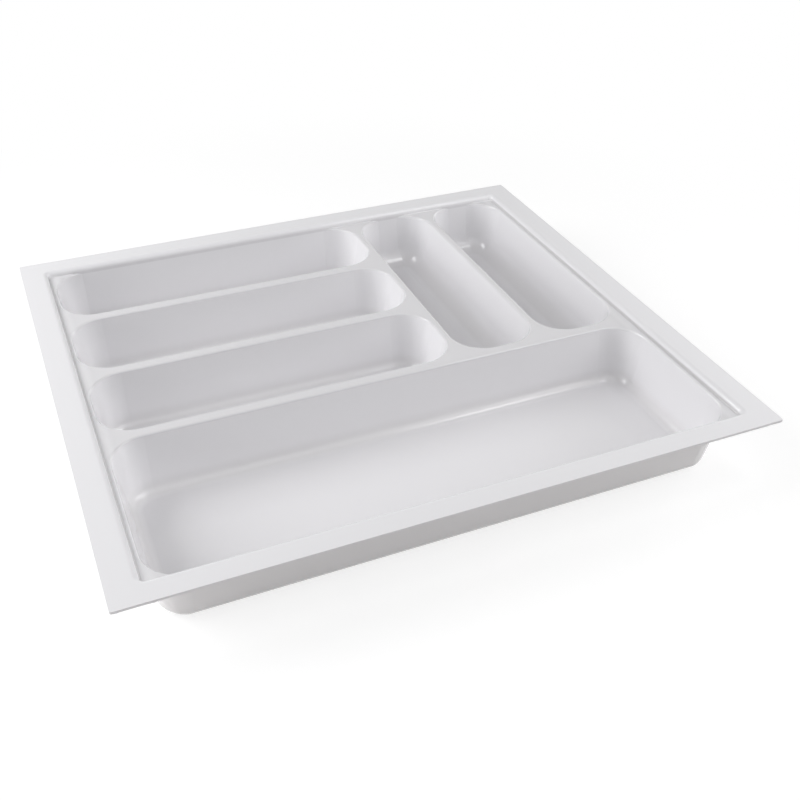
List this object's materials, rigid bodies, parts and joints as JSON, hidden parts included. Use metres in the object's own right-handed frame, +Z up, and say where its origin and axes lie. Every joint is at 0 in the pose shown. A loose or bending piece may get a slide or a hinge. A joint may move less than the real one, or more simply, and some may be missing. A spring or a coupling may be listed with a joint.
{
  "type": "cutlery tray",
  "caption": "White plastic cutlery tray for a kitchen drawer, formed from one sheet: sloping round-cornered wells in a shallow recess inside a wide flat flange that is trimmed to fit.",
  "frame": {"origin": "centre of the tray's outline, in the plane of the well floors' undersides that it stands on", "axes": "+X to the right along the tray's width, +Y to the back of the drawer, +Z up out of the wells"},
  "size_m": [0.54, 0.49, 0.06],
  "materials": {
    "sheet": "satin white"
  },
  "bodies": {
    "root": {"tray_shell": "sheet"}
  },
  "joints": []
}
